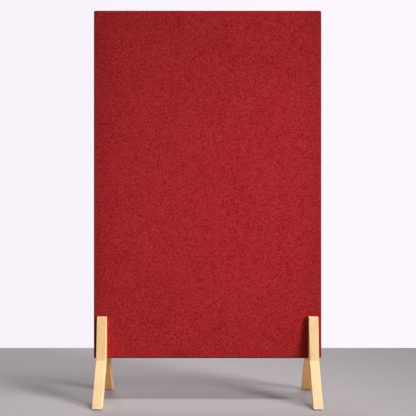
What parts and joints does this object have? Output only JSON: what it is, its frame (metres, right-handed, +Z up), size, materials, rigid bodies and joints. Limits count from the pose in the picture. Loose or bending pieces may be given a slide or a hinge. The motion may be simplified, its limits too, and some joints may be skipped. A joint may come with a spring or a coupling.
{
  "type": "freestanding acoustic panel",
  "caption": "Freestanding fabric-covered acoustic panel, clamped upright between splayed wooden leg bars that stand on felt pads.",
  "frame": {"origin": "on the floor under the middle of the panel, at the bottom centre of the bounding box", "axes": "+Z up, the front of the panel faces -Y, +X to the right seen from the front"},
  "size_m": [0.8, 0.2822, 1.37],
  "materials": {
    "cover_fabric": "matte",
    "wadding": "matte",
    "absorber": "matte",
    "frame_pine": "matte",
    "hardboard": "matte",
    "dowel_beech": "matte",
    "leg_wood": "satin",
    "bolt_steel": "satin",
    "zinc_plate": "satin",
    "foot_felt": "matte"
  },
  "bodies": {
    "root": {"front_cover": "cover_fabric", "rear_cover": "cover_fabric", "bottom_strip": "cover_fabric", "front_wadding": "wadding", "rear_wadding": "wadding", "front_upper_absorber": "absorber", "front_lower_absorber": "absorber", "rear_upper_absorber": "absorber", "rear_lower_absorber": "absorber", "upper_septum": "hardboard", "lower_septum": "hardboard", "left_stile": "frame_pine", "right_stile": "frame_pine", "top_rail": "frame_pine", "mid_rail": "frame_pine", "bottom_rail": "frame_pine", "left_bottom_rail_dowel_lower": "dowel_beech", "left_bottom_rail_dowel_upper": "dowel_beech", "left_mid_rail_dowel_lower": "dowel_beech", "left_mid_rail_dowel_upper": "dowel_beech", "left_top_rail_dowel_lower": "dowel_beech", "left_top_rail_dowel_upper": "dowel_beech", "right_bottom_rail_dowel_lower": "dowel_beech", "right_bottom_rail_dowel_upper": "dowel_beech", "right_mid_rail_dowel_lower": "dowel_beech", "right_mid_rail_dowel_upper": "dowel_beech", "right_top_rail_dowel_lower": "dowel_beech", "right_top_rail_dowel_upper": "dowel_beech", "front_left_leg": "leg_wood", "front_right_leg": "leg_wood", "rear_left_leg": "leg_wood", "rear_right_leg": "leg_wood", "front_left_foot_pad": "foot_felt", "front_right_foot_pad": "foot_felt", "rear_left_foot_pad": "foot_felt", "rear_right_foot_pad": "foot_felt", "left_lower_bolt": "bolt_steel", "left_upper_bolt": "bolt_steel", "right_lower_bolt": "bolt_steel", "right_upper_bolt": "bolt_steel", "left_lower_washer": "zinc_plate", "left_upper_washer": "zinc_plate", "right_lower_washer": "zinc_plate", "right_upper_washer": "zinc_plate", "left_lower_insert": "zinc_plate", "left_upper_insert": "zinc_plate", "right_lower_insert": "zinc_plate", "right_upper_insert": "zinc_plate"}
  },
  "joints": []
}
